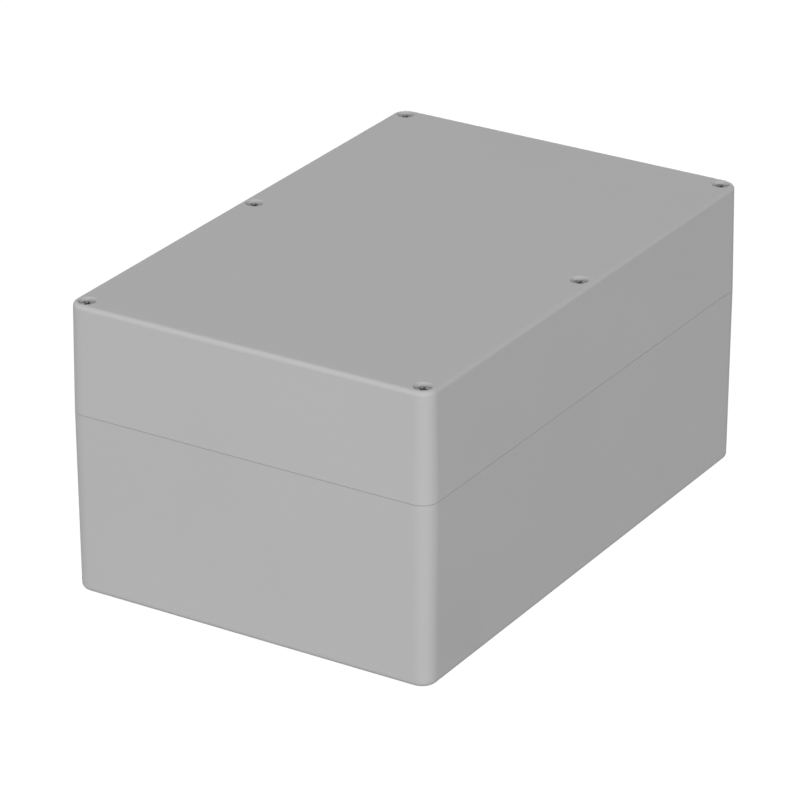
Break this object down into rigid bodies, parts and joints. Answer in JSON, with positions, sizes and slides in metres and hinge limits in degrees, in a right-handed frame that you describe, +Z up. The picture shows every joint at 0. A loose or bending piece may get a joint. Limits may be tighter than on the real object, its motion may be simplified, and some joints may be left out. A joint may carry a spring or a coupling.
{
  "type": "plastic enclosure",
  "caption": "Sealed rectangular plastic enclosure with a deep base, a lift-off lid held by recessed captive screws, and wall-fixing holes outside the seal.",
  "frame": {"origin": "middle of the flat underside", "axes": "+X along the length, +Y along the width, +Z up from the underside to the lid"},
  "size_m": [0.24, 0.16, 0.12],
  "materials": {
    "case_plastic": "light grey moulded plastic with a fine satin texture",
    "seal_rubber": "black elastomer, matt",
    "insert_brass": "turned and knurled brass",
    "screw_steel": "plain stainless steel"
  },
  "bodies": {
    "base": {"base": "case_plastic", "threaded_inserts": "insert_brass"},
    "lid": {"lid": "case_plastic", "gasket": "seal_rubber"},
    "screw_1": {"lid_screw_1": "screw_steel"},
    "screw_2": {"lid_screw_2": "screw_steel"},
    "screw_3": {"lid_screw_3": "screw_steel"},
    "screw_4": {"lid_screw_4": "screw_steel"},
    "screw_5": {"lid_screw_5": "screw_steel"},
    "screw_6": {"lid_screw_6": "screw_steel"}
  },
  "joints": [
    {"name": "lid_lift", "type": "slide", "parent": "base", "child": "lid", "axis": [0, 0, 1], "range_m": [0, 0.12]},
    {"name": "screw_1_lift", "type": "slide", "parent": "lid", "child": "screw_1", "axis": [0, 0, 1], "range_m": [0, 0.009]},
    {"name": "screw_2_lift", "type": "slide", "parent": "lid", "child": "screw_2", "axis": [0, 0, 1], "range_m": [0, 0.009]},
    {"name": "screw_3_lift", "type": "slide", "parent": "lid", "child": "screw_3", "axis": [0, 0, 1], "range_m": [0, 0.009]},
    {"name": "screw_4_lift", "type": "slide", "parent": "lid", "child": "screw_4", "axis": [0, 0, 1], "range_m": [0, 0.009]},
    {"name": "screw_5_lift", "type": "slide", "parent": "lid", "child": "screw_5", "axis": [0, 0, 1], "range_m": [0, 0.009]},
    {"name": "screw_6_lift", "type": "slide", "parent": "lid", "child": "screw_6", "axis": [0, 0, 1], "range_m": [0, 0.009]}
  ]
}
